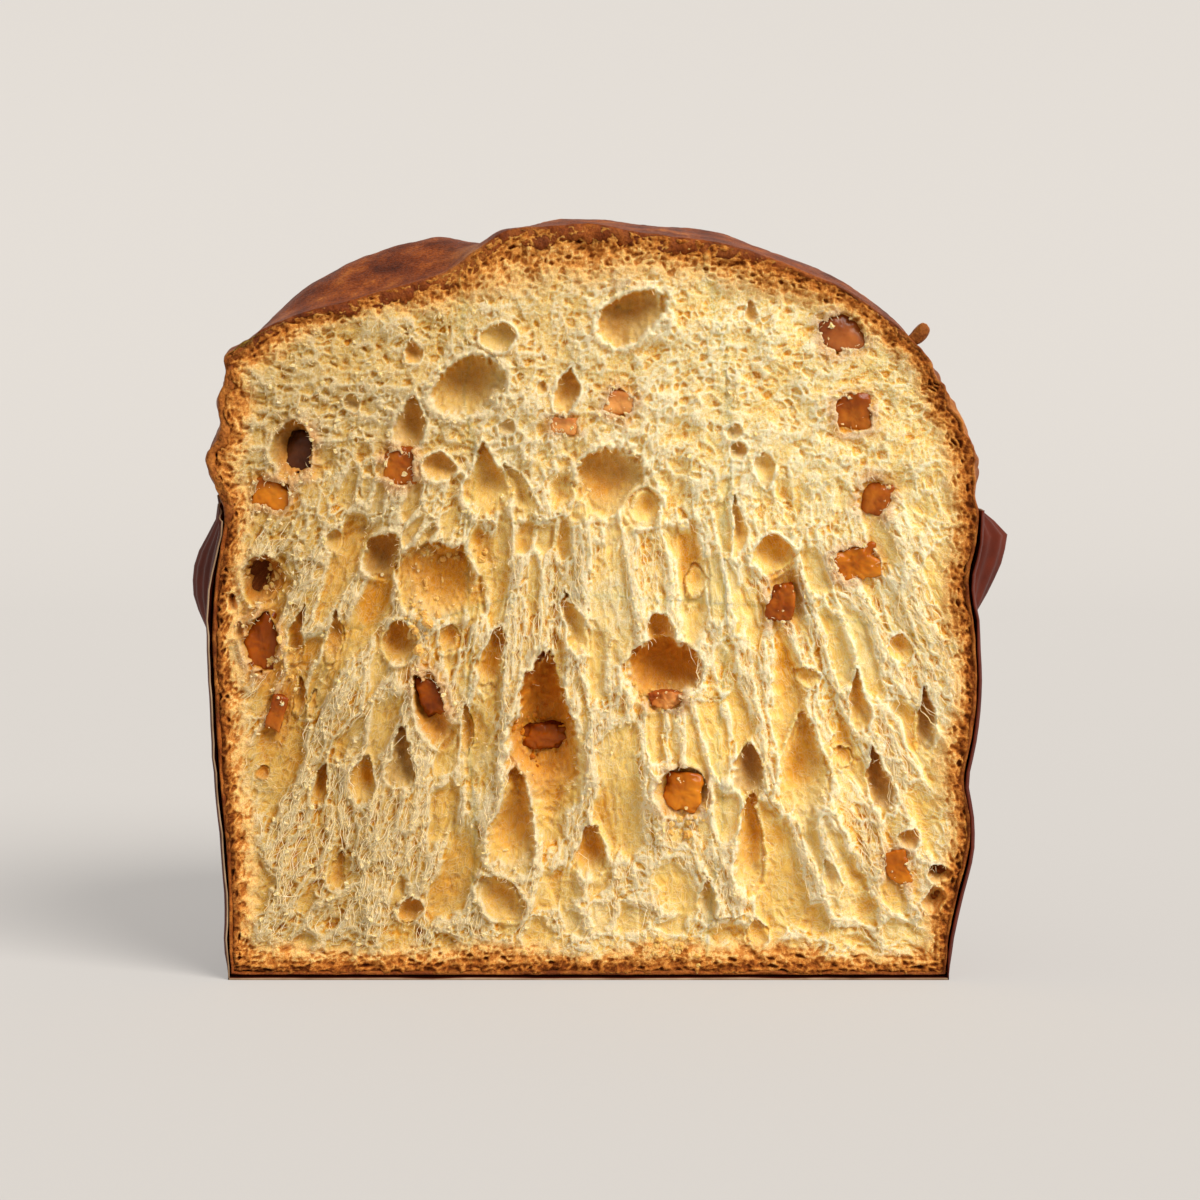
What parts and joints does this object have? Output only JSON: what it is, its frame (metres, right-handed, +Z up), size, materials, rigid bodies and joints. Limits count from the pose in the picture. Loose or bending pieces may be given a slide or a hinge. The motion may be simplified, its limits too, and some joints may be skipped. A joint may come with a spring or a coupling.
{
  "type": "panettone half",
  "caption": "Half of a tall domed sweet loaf with candied peel, cut from top to bottom and standing in its fluted brown paper case.",
  "frame": {"origin": "on the surface that the loaf stands on, under the middle of the half loaf's box", "axes": "+Z up from the foot to the crown; the cut face looks along -Y and the round, cased back is towards +Y; +X is to the right as one looks at the cut"},
  "size_m": [0.189, 0.1018, 0.1752],
  "materials": {
    "crumb": "matt, torn, fibrous yellow crumb",
    "crust": "baked brown crust with a faint butter sheen",
    "case_paper": "dark red-brown fluted baking paper, satin outside",
    "candied_peel": "glossy, slightly clear candied peel",
    "raisin": "wrinkled, semi-gloss"
  },
  "bodies": {
    "root": {"bread": "crumb", "paper_case": "case_paper", "peel_top_right": "candied_peel", "peel_right_upper": "candied_peel", "peel_right_middle": "candied_peel", "peel_right_lower": "candied_peel", "peel_right_amber": "candied_peel", "peel_centre_rose": "candied_peel", "peel_centre_small": "candied_peel", "peel_left_jelly": "candied_peel", "peel_left_crust": "candied_peel", "peel_left_side": "candied_peel", "peel_left_pale": "candied_peel", "peel_left_streak": "candied_peel", "peel_hollow_orange": "candied_peel", "peel_hollow_rim": "candied_peel", "peel_low_rose": "candied_peel", "peel_right_foot": "candied_peel", "raisin_left": "raisin"}
  },
  "joints": []
}
